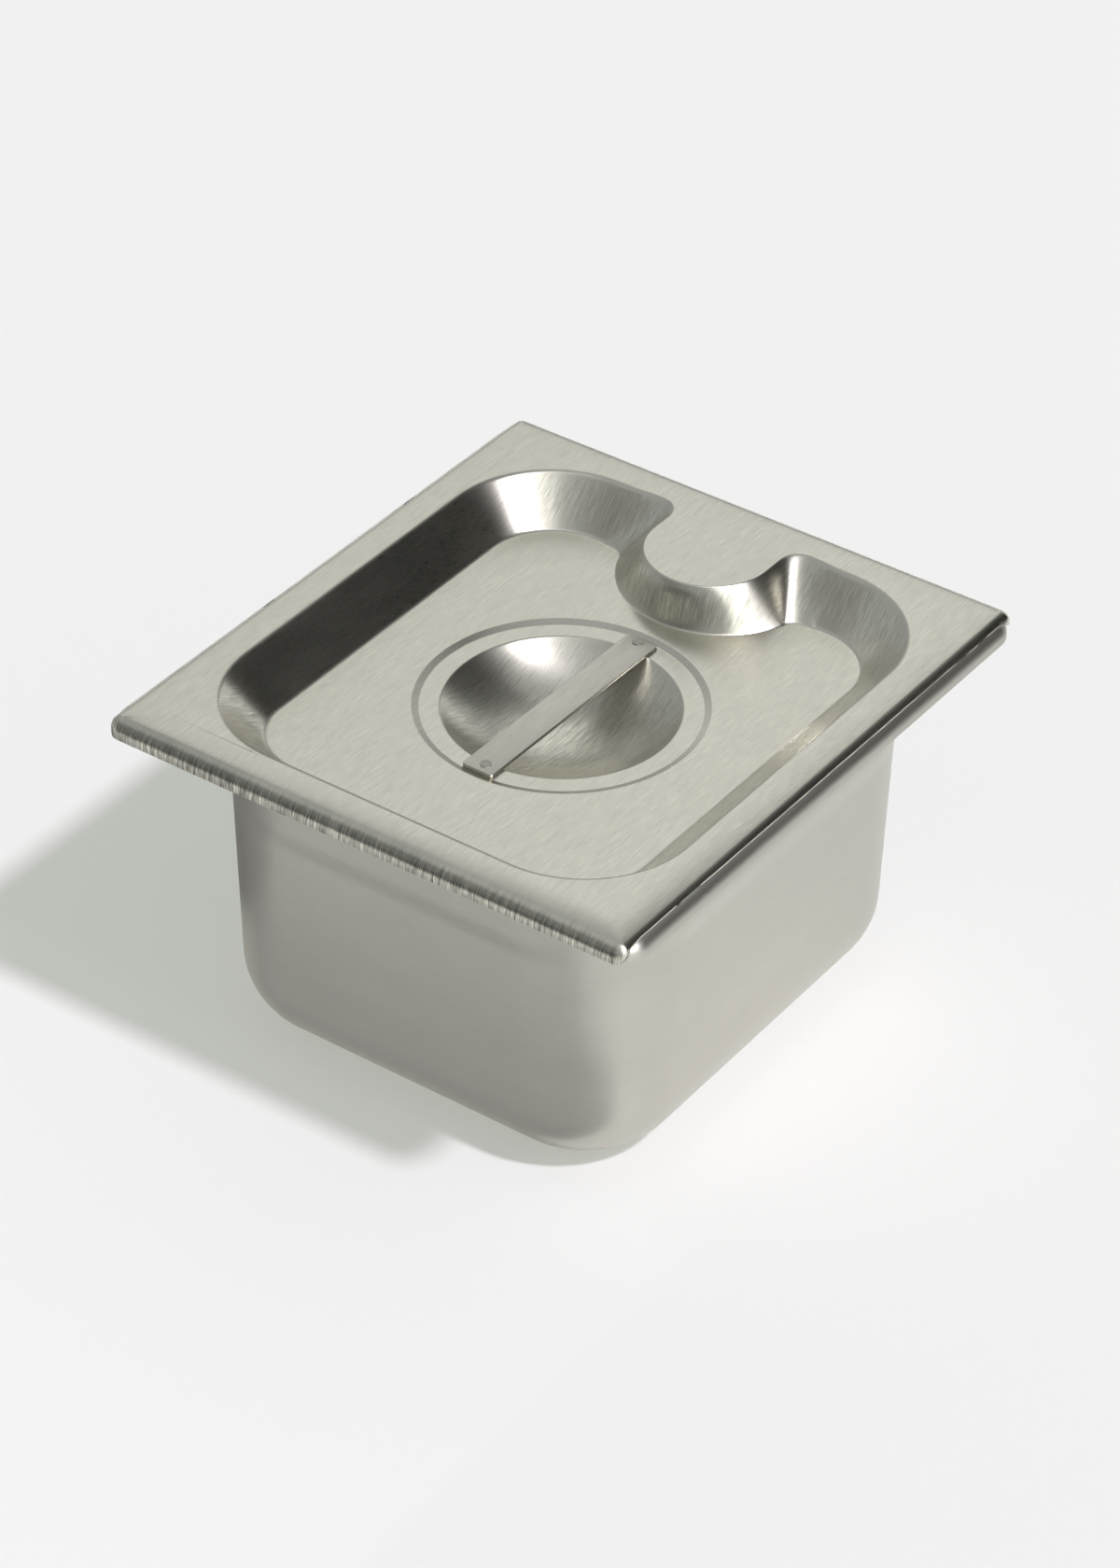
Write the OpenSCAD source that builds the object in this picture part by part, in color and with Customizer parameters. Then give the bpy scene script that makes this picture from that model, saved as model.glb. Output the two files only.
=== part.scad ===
// Sixth-size steam table pan with a pressed lid.
// The pan is a drawn sheet tub with a rolled flange and a stacking shoulder.
// The lid is one pressing: a tray pocket with a tongue reaching in from the
// back rim, and a round finger dish bridged by a flat strip welded at its ends.
// Origin: centre of the base footprint, on the surface the pan stands on.
// Width runs along X, length along Y (the tongue is at +Y), height along Z.

/* [Sheet and fits] */
// Thickness of the pan and lid sheet
sheet = 0.7; // [0.5:0.1:1]
// Gap between the lid skirts and the pan lip
skirt_gap = 0.3; // [0.2:0.1:0.8]

/* [Pan flange] */
// Flange size across the width
flange_w = 162; // [160:1:168]
// Flange size along the length
flange_l = 176; // [174:1:188]
// Height of the flange top above the base
flange_z = 100; // [92:1:150]
// Plan radius of the flange corners
flange_corner = 11; // [9:0.5:12]
// Outside radius of the rolled flange edge
roll_r = 2; // [1.5:0.1:2.5]
// Straight lip below the roll
lip_drop = 2.4; // [1.5:0.1:3]

/* [Pan body] */
// Width between the walls where they would meet the base plane
base_w = 130.6; // [124:0.2:132]
// Length between the walls where they would meet the base plane
base_l = 142.6; // [136:0.2:146]
// Lean of the walls from upright, in degrees
wall_draft = 1.7; // [1:0.1:2]
// Plan radius of the body corners at the base plane
body_corner = 28; // [26:0.5:30]
// Plan radius of the body corners above the shoulder, at the base plane
upper_corner = 31.5; // [31:0.5:32]
// Radius between base and walls
base_round = 21; // [14:0.5:24]
// Radius between walls and flange, on the inside of the pan
mouth_round = 4.5; // [3:0.1:5]
// Height of the lower edge of the stacking shoulder
shoulder_z = 70.6; // [60:0.2:74]
// Height of the sloped part of the shoulder
shoulder_rise = 4.4; // [3:0.2:7]
// Depth of the step at the shoulder
shoulder_step = 1.2; // [0.8:0.1:1.6]

/* [Lid edge] */
// Lid size across the width, measured over the full bends
lid_w = 158.4; // [157:0.1:158.6]
// Height of the lid top above the flange top
lid_rise = 1.6; // [1.4:0.1:2]
// Outside radius of the edge bends
edge_bend = 2.6; // [2.2:0.1:3]
// Straight skirt below the bend, front and back
skirt_drop = 1.8; // [1:0.1:2.2]
// Plan radius of the lid corners
lid_corner = 6; // [5:0.5:7]
// Distance from the lid ends where the side edges start to run down
side_end = 4; // [3.6:0.1:5]
// Distance from the lid ends where they reach the foot of the skirt
side_foot = 0.9; // [0.8:0.1:2]

/* [Tray pocket] */
// Width of the pocket at its rim
pocket_w = 139.2; // [134:0.2:141]
// Length of the pocket at its rim
pocket_l = 156.2; // [150:0.2:158]
// Distance of the pocket centre in front of the lid centre
pocket_shift = 0.4; // [0:0.1:2]
// Plan radius of the rim corners
pocket_corner = 32.5; // [30:0.5:33.5]
// Depth of the tray floor below the lid top
pocket_depth = 11.5; // [10:0.5:14]
// Level distance covered by the sloping wall
pocket_run = 14; // [12:0.2:15]
// Radius of the rim bend, on its outside
rim_bend = 3; // [2:0.1:3.2]
// Radius of the bend at the tray floor, on its inside
floor_bend = 1.5; // [1:0.1:1.8]

/* [Tongue] */
// Half width of the flat top of the tongue
tongue_half = 17.4; // [15:0.2:19]
// Distance of the flat tip from the back rim of the pocket
tongue_reach = 30.5; // [28:0.5:34]
// Plan radius where the tongue leaves the back rim
root_round = 6; // [4:0.2:8]
// Radius of the foot line of the tongue on the tray floor
foot_r = 28.4; // [27:0.2:29.4]
// Level distance from the flat tip to the foot line
tip_run = 5.3; // [5:0.1:6.5]
// Plan radius where the foot line turns into the back wall
foot_round = 3.4; // [2.6:0.1:4]

/* [Finger dish and strip] */
// Flat floor between the tongue and the ring step
tongue_gap = 5.7; // [4:0.1:8]
// Flat floor between the front wall and the ring step
front_gap = 23.1; // [20:0.1:27]
// Depth of the ring step
ring_depth = 1.1; // [0.8:0.1:1.2]
// Level distance covered by the ring step
ring_run = 1.9; // [1.8:0.1:2.4]
// Radius of the small bends of the ring and the bowl edge
dish_bend = 1; // [0.9:0.1:1.1]
// Width of the ledge between the ring step and the bowl
ledge_w = 5.1; // [4:0.1:7]
// Depth of the bowl below the ring ledge
bowl_depth = 11; // [8:0.5:13]
// Width of the handle strip
strip_w = 9.4; // [8:0.2:12]
// Gap between the strip ends and the ring step
strip_gap = 0.3; // [0.2:0.1:0.8]
// Plan radius of the strip corners
strip_corner = 0.8; // [0.4:0.1:1.5]
// Radius of the weld spots
weld_r = 1.5; // [1:0.1:2]
// Height of the weld spots above the strip
weld_h = 0.2; // [0.1:0.05:0.3]
// Distance of the weld spots from the strip ends
weld_inset = 3.2; // [3:0.1:4]

/* [Hidden] */
// Facets that round shapes show in a preview
$fn = 96;
// Overrun of every cutting shape
over = 0.5;
// Length of the arms of a cutting wedge, in radii
wedge_share = 2;
// Steps across each bend and along each stretch of the tongue wall
bend_steps = 4;
root_steps = 8;
tip_steps = 24;
// Steps from the edge to the middle of the bowl
bowl_steps = 16;
// Overlap of a bent sheet on the flat sheets beside it
band_lap = 0.6;
// How far the flat sheets stop short of the bends, under that overlap
edge_trim = 0.2;
// How far the skins of the tongue wall lie inside those of the other sheets
nudge = 0.05;
// Share of the straight back wall that the tongue wall takes over
window_share = 0.94;

draft = tan(wall_draft);
lid_z = flange_z + lid_rise;
floor_z = lid_z - pocket_depth;
ledge_z = floor_z - ring_depth;
lid_l = flange_l + 2 * (skirt_gap + sheet);
skirt_z = lid_z - edge_bend - skirt_drop;
lip_z = flange_z - roll_r - lip_drop;
upper_w = base_w + 2 * shoulder_step;
upper_l = base_l + 2 * shoulder_step;
mouth_z = flange_z - mouth_round;
mouth = [upper_corner + draft * mouth_z + (mouth_round - sheet) / cos(wall_draft), mouth_z];
rim_y = pocket_l / 2 - pocket_shift;
foot_y = rim_y - pocket_run;
window_half = (pocket_w / 2 - pocket_corner) * window_share;
tip_y = rim_y - tongue_reach + tongue_half;
tongue_foot_y = rim_y - tongue_reach - tip_run;
front_foot_y = pocket_run - pocket_shift - pocket_l / 2;
foot_axis_y = tongue_foot_y + foot_r;
ring_r = (tongue_foot_y - tongue_gap - front_foot_y - front_gap) / 2;
bowl_r = ring_r - ring_run - ledge_w;
dish_y = tongue_foot_y - tongue_gap - ring_r;
turn_y = foot_y - foot_round;
turn_x = sqrt(pow(foot_r + foot_round, 2) - pow(foot_axis_y - turn_y, 2));
turn_angle = atan2(foot_axis_y - turn_y, turn_x);
strip_t = ring_depth;
strip_l = 2 * (ring_r - ring_run - strip_gap);

// Plan shape of a rounded rectangle.
module plate_shape(w, l, r) {
    square([w, l - 2 * r], center = true);
    square([w - 2 * r, l], center = true);
    for (x = [-1, 1], y = [-1, 1])
        translate([x * (w / 2 - r), y * (l / 2 - r)]) circle(r = r);
}

// Carries a section round a rounded rectangle. The section's x is measured
// outwards from the corner axis, its y is the height.
module around(w, l, r) {
    axis_x = w / 2 - r;
    axis_y = l / 2 - r;
    for (x = [0, 1], y = [0, 1])
        mirror([x, 0, 0]) mirror([0, y, 0]) translate([axis_x, axis_y, 0])
            rotate_extrude(angle = 90) children();
    for (x = [0, 1])
        mirror([x, 0, 0]) translate([axis_x, 0, 0]) rotate([90, 0, 0])
            linear_extrude(height = 2 * axis_y, center = true) children();
    for (y = [0, 1])
        mirror([0, y, 0]) translate([0, axis_y, 0]) rotate([90, 0, 90])
            linear_extrude(height = 2 * axis_x, center = true) children();
}

// Slice of a disc between two directions.
module sector(r, from, to) {
    middle = (from + to) / 2;
    intersection() {
        circle(r = r);
        polygon(r * wedge_share * [[0, 0], [cos(from), sin(from)],
            [cos(middle), sin(middle)], [cos(to), sin(to)]]);
    }
}

// Section of sheet bent round an axis, with r its inside radius.
module bend(r, from, to) {
    difference() {
        sector(r + sheet, from, to);
        circle(r = r);
    }
}

// Steepest slope of a sheet that drops between two flats, where the radii of
// its two bends add up to bends.
function step_slope(run, drop, bends) =
    asin(bends / norm([run, drop - bends])) + atan2(drop - bends, run);

// One skin of a sheet that drops from a flat ending at the origin to a flat
// starting at [run, -drop]. Inset moves the skin into the sheet.
function skin(run, drop, upper, lower, inset, lap) =
    let (
        slope = step_slope(run, drop, upper + lower),
        high = upper - inset,
        low = lower + inset
    )
    [
        [-lap, -inset],
        for (i = [0 : bend_steps]) let (a = slope * i / bend_steps)
            [high * sin(a), high * cos(a) - upper],
        for (i = [0 : bend_steps]) let (a = slope * (1 - i / bend_steps))
            [run - low * sin(a), lower - low * cos(a) - drop],
        [run + lap, -drop - inset]
    ];

function reversed(list) = [for (i = [len(list) - 1 : -1 : 0]) list[i]];

// Outline of that sheet. It laps on to both flats, and trim thins it on both
// sides.
function step_outline(run, drop, upper, lower, trim) = concat(
    skin(run, drop, upper, lower, trim, band_lap),
    reversed(skin(run, drop, upper, lower, sheet - trim, band_lap)));

// Section of the tub below the shoulder, from the corner axis to the wall,
// with its skin moved in by inset.
module lower_section(inset) {
    r = base_round - inset;
    top = shoulder_z + shoulder_rise;
    wall = body_corner - inset / cos(wall_draft);
    axis = [wall + draft * base_round - r / cos(wall_draft), base_round];
    polygon([[0, inset], [axis[0], inset], axis + r * [cos(wall_draft), -sin(wall_draft)],
        [wall + draft * top, top], [0, top]]);
    translate(axis) sector(r, 270, 360 - wall_draft);
}

// Section of the wider tub above the shoulder, flared out to the flange at
// its top. The sloped foot starts inside the lower tub, so that the two cross.
module upper_section(inset, top) {
    wall = upper_corner - inset / cos(wall_draft) + draft * shoulder_z;
    slant = [shoulder_step + draft * shoulder_rise, shoulder_rise];
    r = mouth_round - sheet + inset;
    difference() {
        polygon([[0, shoulder_z - shoulder_rise],
            [wall - shoulder_step, shoulder_z] - slant, [wall - shoulder_step, shoulder_z] + slant,
            mouth - r * [cos(wall_draft), -sin(wall_draft)], mouth, for (p = top) p]);
        translate(mouth) circle(r = r);
    }
}

module tub(w, l, r, bottom, top) {
    around(w, l, r) children();
    translate([r - w / 2, r - l / 2, bottom]) cube([w - 2 * r, l - 2 * r, top - bottom]);
}

module pan_skin() {
    lower_top = shoulder_z + shoulder_rise;
    upper_foot = shoulder_z - shoulder_rise;
    rim_end = mouth[0] + band_lap;
    rim_z = flange_z - sheet;
    above = flange_z + over;
    difference() {
        union() {
            tub(base_w, base_l, body_corner, 0, lower_top) lower_section(0);
            tub(upper_w, upper_l, upper_corner, upper_foot, flange_z)
                upper_section(0, [[mouth[0], rim_z], [rim_end, rim_z], [rim_end, flange_z], [0, flange_z]]);
        }
        tub(base_w, base_l, body_corner, sheet, lower_top) lower_section(sheet);
        tub(upper_w, upper_l, upper_corner, upper_foot, above)
            upper_section(sheet, [[mouth[0], above], [0, above]]);
    }
}

module pan() color([0.74, 0.73, 0.69]) {
    pan_skin();
    grow = mouth[0] - upper_corner;
    translate([0, 0, flange_z - sheet]) linear_extrude(sheet) difference() {
        plate_shape(flange_w - 2 * roll_r, flange_l - 2 * roll_r, flange_corner - roll_r);
        plate_shape(upper_w + 2 * grow, upper_l + 2 * grow, mouth[0]);
    }
    around(flange_w, flange_l, flange_corner) {
        translate([flange_corner - roll_r, flange_z - roll_r]) bend(roll_r - sheet, 0, 90);
        translate([flange_corner - sheet, lip_z]) square([sheet, lip_drop]);
    }
}

// Flat of the tongue with the eased corners where it leaves the back rim.
module tongue_shape() {
    half = tongue_half - edge_trim;
    round = root_round + edge_trim;
    translate([0, tip_y]) circle(r = half);
    translate([-half, tip_y]) square([2 * half, rim_y - tip_y + over]);
    for (x = [0, 1]) mirror([x, 0]) difference() {
        translate([half - over, rim_y - root_round]) square([round + over, round + over]);
        translate([half + round, rim_y - root_round]) circle(r = round);
    }
}

// Flat of the tray floor, cut back to the foot line of the tongue.
module tray_floor_shape() {
    inset = pocket_run + edge_trim;
    round = foot_round - edge_trim;
    difference() {
        translate([0, -pocket_shift])
            plate_shape(pocket_w - 2 * inset, pocket_l - 2 * inset, pocket_corner - inset);
        translate([0, foot_axis_y]) circle(r = foot_r + edge_trim);
        for (x = [0, 1]) mirror([x, 0]) difference() {
            translate([turn_x - round * cos(turn_angle), turn_y + round * sin(turn_angle)])
                square([round * cos(turn_angle), foot_round]);
            translate([turn_x, turn_y]) circle(r = round);
        }
        translate([0, dish_y]) circle(r = ring_r + edge_trim);
    }
}

// The tongue wall runs between the edge of the flange flat (the rim) and the
// edge of the tray floor (the foot). Each pair below is a rim point and the
// foot point that the wall reaches from it.
function on_arc(axis, r, angle) = axis + r * [cos(angle), sin(angle)];
root_arc = root_round * PI / 2;
root_level = turn_x - tongue_half - root_round;
root_side = rim_y - root_round - tip_y;
root_length = root_level + root_arc + root_side;
function root_point(d) =
    d < root_level ? [-turn_x + d, rim_y]
    : d < root_level + root_arc
    ? on_arc([-tongue_half - root_round, rim_y - root_round], root_round, 90 - 90 * (d - root_level) / root_arc)
    : [-tongue_half, rim_y - root_round - (d - root_level - root_arc)];
left_pairs = [
    [[-window_half - band_lap, rim_y], [-window_half - band_lap, foot_y]],
    for (i = [0 : root_steps - 1])
        [root_point(root_length * i / root_steps),
        on_arc([-turn_x, turn_y], foot_round, 90 - (90 - turn_angle) * i / root_steps)]
];
tip_pairs = [
    for (i = [0 : tip_steps])
        [on_arc([0, tip_y], tongue_half, 180 + 180 * i / tip_steps),
        on_arc([0, foot_axis_y], foot_r, 180 + turn_angle + (180 - 2 * turn_angle) * i / tip_steps)]
];
right_pairs = [for (i = [1 : len(left_pairs)])
    [for (p = left_pairs[len(left_pairs) - i]) [-p[0], p[1]]]];
wall_pairs = concat(left_pairs, tip_pairs, right_pairs);

// Closed section of the tongue wall at one pair, top skin first.
function wall_section(pair) =
    let (
        span = pair[1] - pair[0],
        run = norm(span)
    )
    [for (p = step_outline(run, pocket_depth, rim_bend, floor_bend, nudge))
        [each pair[0] + span / run * p[0], lid_z + p[1]]];

module tongue_wall() {
    sections = [for (pair = wall_pairs) wall_section(pair)];
    n = len(sections[0]);
    last = len(sections) - 1;
    end = last * n;
    polyhedron(
        points = [for (s = sections) each s],
        faces = [
            for (j = [0 : n / 2 - 2]) each [
                [j, j + 1, n - 2 - j], [j, n - 2 - j, n - 1 - j],
                [end + n - 2 - j, end + j + 1, end + j], [end + n - 1 - j, end + n - 2 - j, end + j]
            ],
            for (i = [0 : last - 1], j = [0 : n - 1]) each [
                [i * n + j, (i + 1) * n + j, (i + 1) * n + (j + 1) % n],
                [i * n + j, (i + 1) * n + (j + 1) % n, i * n + (j + 1) % n]
            ]
        ],
        convexity = 10
    );
}

// Skin of the ledge and the bowl from the foot of the ring step to the axis,
// with the ledge at zero height. Inset moves it into the sheet.
function bowl_skin(inset) =
    let (
        reach = (pow(bowl_r, 2) + pow(bowl_depth, 2)) / (2 * bowl_depth),
        slope = asin(bowl_r / reach),
        turn = dish_bend - inset,
        round = reach - dish_bend + inset
    )
    [
        [ring_r - ring_run, -inset],
        for (i = [0 : bend_steps]) let (a = slope * i / bend_steps)
            [bowl_r - turn * sin(a), turn * cos(a) - dish_bend],
        for (i = [1 : bowl_steps]) let (a = slope * (1 - i / bowl_steps))
            [round * sin(a), reach - dish_bend - bowl_depth - round * cos(a)]
    ];

module dish() {
    translate([0, dish_y, floor_z]) rotate_extrude() {
        translate([ring_r, 0]) mirror([1, 0])
            polygon(step_outline(ring_run, ring_depth, dish_bend, dish_bend, 0));
        translate([0, -ring_depth]) polygon(concat(bowl_skin(0), reversed(bowl_skin(sheet))));
    }
}

module lid_edge() {
    end_y = lid_l / 2 - side_end;
    foot_end = lid_l / 2 - side_foot;
    difference() {
        around(lid_w, lid_l, lid_corner) {
            translate([lid_corner - edge_bend, lid_z - edge_bend]) bend(edge_bend - sheet, 0, 90);
            translate([lid_corner - sheet, skirt_z]) square([sheet, skirt_drop]);
        }
        rotate([90, 0, 90]) linear_extrude(height = lid_w + 2 * over, center = true)
            polygon([[-end_y, flange_z], [end_y, flange_z], [foot_end, skirt_z],
                [foot_end, skirt_z - over], [-foot_end, skirt_z - over], [-foot_end, skirt_z]]);
    }
}

module lid() color([0.76, 0.75, 0.71]) {
    lid_edge();
    translate([0, 0, lid_z - sheet]) linear_extrude(sheet) {
        difference() {
            plate_shape(lid_w - 2 * edge_bend, lid_l - 2 * edge_bend, lid_corner - edge_bend);
            translate([0, -pocket_shift])
                plate_shape(pocket_w + 2 * edge_trim, pocket_l + 2 * edge_trim, pocket_corner + edge_trim);
        }
        tongue_shape();
    }
    difference() {
        translate([0, -pocket_shift, lid_z]) around(pocket_w, pocket_l, pocket_corner)
            translate([pocket_corner, 0]) mirror([1, 0])
                polygon(step_outline(pocket_run, pocket_depth, rim_bend, floor_bend, 0));
        translate([-window_half, 0, floor_z - sheet - over])
            cube([2 * window_half, rim_y + band_lap + over, pocket_depth + sheet + 2 * over]);
    }
    tongue_wall();
    translate([0, 0, floor_z - sheet]) linear_extrude(sheet) tray_floor_shape();
    dish();
}

module handle_strip() color([0.72, 0.72, 0.69])
    translate([0, dish_y, ledge_z]) linear_extrude(strip_t)
        plate_shape(strip_w, strip_l, strip_corner);

module weld(y) color([0.6, 0.6, 0.58])
    translate([0, y + dish_y, ledge_z + strip_t]) cylinder(r = weld_r, h = weld_h);

module weld_near() weld(weld_inset - strip_l / 2);

module weld_far() weld(strip_l / 2 - weld_inset);

pan();
lid();
handle_strip();
weld_near();
weld_far();
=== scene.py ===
"""Looks of a sixth-size food pan with its lid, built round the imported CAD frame.

The pan and the lid are skins: a ring of points is added and extruded from ring
to ring. The strip and its two weld marks are shaped from a plane and a cylinder.
"""

import math

import bmesh
import bpy
from mathutils import Matrix, Vector, noise


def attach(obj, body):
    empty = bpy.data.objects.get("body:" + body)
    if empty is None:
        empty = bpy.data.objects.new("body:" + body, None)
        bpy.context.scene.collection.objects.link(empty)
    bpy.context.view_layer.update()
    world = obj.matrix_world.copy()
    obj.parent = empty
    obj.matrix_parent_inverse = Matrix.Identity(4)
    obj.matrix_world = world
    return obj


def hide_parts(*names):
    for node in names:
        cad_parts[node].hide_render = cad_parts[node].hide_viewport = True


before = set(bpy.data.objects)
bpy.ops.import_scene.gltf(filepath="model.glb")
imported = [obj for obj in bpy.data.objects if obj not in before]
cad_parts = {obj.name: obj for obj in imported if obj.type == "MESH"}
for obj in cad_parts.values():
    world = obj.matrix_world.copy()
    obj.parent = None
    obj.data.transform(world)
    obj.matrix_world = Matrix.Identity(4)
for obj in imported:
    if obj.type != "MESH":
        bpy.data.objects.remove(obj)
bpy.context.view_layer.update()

MM = 0.001

# Sizes in millimetres. Most are those of the CAD source. Corners, bends, the rolled
# lip, the shoulder and the ring step differ a little from it, nearer to the photo.
# Sheet and pan
SHEET = 0.7
FLANGE_W, FLANGE_L, FLANGE_Z, FLANGE_CORNER = 162, 176, 100, 8
FLANGE_FLAT = 1.2
ROLL_R, LIP_DROP, LIP_ROUND = 3, 1.4, 0.12
BASE_W, BASE_L, WALL_DRAFT = 130.6, 142.6, 1.7
BODY_CORNER, UPPER_CORNER, BASE_ROUND, MOUTH_ROUND = 28, 31.5, 21, 4.5
SHOULDER_Z, SHOULDER_RISE, SHOULDER_STEP = 69.6, 7.5, 1

# Lid edge
LID_W, LID_L, LID_Z, LID_CORNER = 158.4, 178, 101.6, 3.6
SIDE_BEND, SKIRT_BEND, SKIRT_DEPTH, SIDE_END, SIDE_FOOT = 2.8, 4, 5.3, 4, 0.9
SIDE_JAG, SKIRT_JAG, JAG_PITCH = 0.09, 0.05, 0.9
BURR, BURR_LIFT, BURR_PITCH, BURR_LEAST, BURR_SWING = 0.42, 0.04, 0.6, 0.75, 0.5
SIDE_SLICE, BURR_SLICE, SKIRT_SLICE = 3, 5, 9
CROWN_RUN, CROWN_ANGLE, CROWN_CORNER = 7, 14, 2.5
CROWN_LEAST, CROWN_MOST, CROWN_FADE, CROWN_UNDER = 0.22, 0.78, 1.5, 0.4

# Tray pocket and tongue
POCKET_W, POCKET_L, POCKET_SHIFT, POCKET_CORNER = 139.2, 156.2, 0.4, 32.5
POCKET_DEPTH, POCKET_RUN, RIM_BEND, FLOOR_BEND = 11.5, 14, 3.2, 2.2
STEEP_FADE, RIM_FADE, FLOOR_FADE, SIDE_EASE, FRONT_EASE = 1.8, 0.12, 0.35, 0.25, 0.9
TONGUE_HALF, TONGUE_REACH, ROOT_ROUND = 17.4, 30.5, 6
FOOT_R, TIP_RUN, FOOT_ROUND = 28.4, 5.3, 5
TONGUE_SMOOTHING, TONGUE_MARGIN = 70, 4

# Finger dish, strip and weld marks
DISH_OFFSET, RING_R, RING_DEPTH, RING_RUN, DISH_BEND = 2.6, 38.8, 0.8, 2.4, 1.2
DIP_RUN, DIP_ANGLE = 5, 2.5
BOWL_R, BOWL_DEPTH, LEDGE_FLAT = 31.8, 11, 0.8
STRIP_W, STRIP_T, STRIP_GAP, STRIP_CORNER = 9.4, 1, 0.3, 0.8
STRIP_TURN, STRIP_LIFT, STRIP_EDGE = 0.8, 0.02, 0.18
WELD_R, WELD_H, WELD_INSET, WELD_FAR_SHIFT = 1.5, 0.2, 3.2, 1.2
WELD_STEP, WELD_DIP, WELD_CENTRE, WELD_NUB = 0.35, 0.12, 0.3, 0.04

# What follows from the sizes
DRAFT = math.tan(math.radians(WALL_DRAFT))
DRAFT_COS = math.cos(math.radians(WALL_DRAFT))
FLOOR_Z = LID_Z - POCKET_DEPTH
LEDGE_Z = FLOOR_Z - RING_DEPTH
SKIRT_Z = LID_Z - SKIRT_DEPTH
LIP_Z = FLANGE_Z - ROLL_R - LIP_DROP
RIM_Y = POCKET_L / 2 - POCKET_SHIFT
RIM_FRONT_Y = -POCKET_L / 2 - POCKET_SHIFT
FOOT_Y = RIM_Y - POCKET_RUN
TIP_Y = RIM_Y - TONGUE_REACH + TONGUE_HALF
FOOT_AXIS_Y = RIM_Y - TONGUE_REACH - TIP_RUN + FOOT_R
TURN_Y = FOOT_Y - FOOT_ROUND
TURN_X = math.sqrt((FOOT_R + FOOT_ROUND) ** 2 - (FOOT_AXIS_Y - TURN_Y) ** 2)
TURN_ANGLE = math.atan2(FOOT_AXIS_Y - TURN_Y, TURN_X)
ROOT_X, ROOT_Y = TONGUE_HALF + ROOT_ROUND, RIM_Y - ROOT_ROUND
STRIP_L = 2 * (RING_R - RING_RUN - STRIP_GAP)


# Working by hand: selecting, growing a skin, laying the grain
def clear():
    """Leaves edit mode and deselects everything."""
    if bpy.context.object and bpy.context.object.mode != "OBJECT":
        bpy.ops.object.mode_set(mode="OBJECT")
    bpy.ops.object.select_all(action="DESELECT")


def edited(obj):
    mesh = bmesh.from_edit_mesh(obj.data)
    mesh.verts.ensure_lookup_table()
    return mesh


def skin_of_rings(name, rings):
    """A circle of points is added, and ring after ring is extruded from it and moved into place.
    The object and the place of each vertex, as (ring, point), are returned."""
    clear()
    n = len(rings[0])
    bpy.ops.mesh.primitive_circle_add(vertices=n, radius=BASE_W / 2 * MM)
    obj = bpy.context.object
    obj.name = obj.data.name = name
    bpy.ops.object.mode_set(mode="EDIT")
    bpy.ops.mesh.select_mode(type="VERT")
    bpy.ops.mesh.select_all(action="SELECT")
    mesh = edited(obj)
    spots = {}
    row = {}
    for k in range(n):
        mesh.verts[k].co = Vector(rings[0][k]) * MM
        row[k] = k
        spots[k] = (0, k)
    for j, ring in enumerate(rings[1:], 1):
        bpy.ops.mesh.extrude_edges_indiv()
        mesh = edited(obj)
        new = {}
        for v in mesh.verts:
            if v.select:
                old = next(e.other_vert(v) for e in v.link_edges if not e.other_vert(v).select)
                k = row[old.index]
                v.co = Vector(ring[k]) * MM
                new[v.index] = k
                spots[v.index] = (j, k)
        row = new
    bpy.ops.mesh.edge_face_add()
    bpy.ops.mesh.select_all(action="DESELECT")
    mesh = edited(obj)
    for k in range(n):
        mesh.verts[k].select = True
    mesh.select_flush(True)
    bpy.ops.mesh.edge_face_add()
    bpy.ops.mesh.select_all(action="SELECT")
    bpy.ops.mesh.normals_make_consistent(inside=False)
    bpy.ops.object.mode_set(mode="OBJECT")
    bpy.ops.object.shade_smooth_by_angle(angle=math.radians(32))
    return obj, spots


def lay_grain(obj, spots, n, across):
    """Unwraps the piece. across gives a vertex's (u, v) in metres from its place, its ring and its point.
    A face that closes its ring takes its first points once more round, which a cap's doesn't."""
    layer = obj.data.uv_layers.new(name="grain")
    for poly in obj.data.polygons:
        ks = [spots[i][1] for i in poly.vertices]
        wraps = len(ks) <= 4 and max(ks) - min(ks) > n / 2
        for loop, i in zip(poly.loop_indices, poly.vertices):
            j, k = spots[i]
            if wraps and k < n / 2:
                k += n
            layer.data[loop].uv = across(obj.data.vertices[i].co, j, k)


def blend_rings(a, b, t):
    return [tuple(p + (q - p) * t for p, q in zip(u, v)) for u, v in zip(a, b)]


def turned(start, end, steps):
    """Angles or shares from start to end, in even steps."""
    return [start + (end - start) * i / steps for i in range(steps + 1)]


# The pan. Each ring is a rounded rectangle with the same points at the same
# angles, so that rings of different corners can follow each other.
ARC, SIDE = 24, 36
PAN_N = 4 * (ARC + SIDE)
BASE_SHARES = (0.25, 0.5, 0.75, 0.92)
BASE_STEPS, MOUTH_STEPS, ROLL_STEPS, INNER_ROLL_STEPS, SHOULDER_STEPS = 18, 9, 8, 5, 14

# Heights of the wall's rings, and the height where the grain is laid in true length.
BELOW_SHOULDER = [26, 32, 38, 44, 50, 56, 62, 66, 68.6]
ABOVE_SHOULDER = [78.5, 81, 85, 90, 93]
GIRTH_Z = 50


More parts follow.
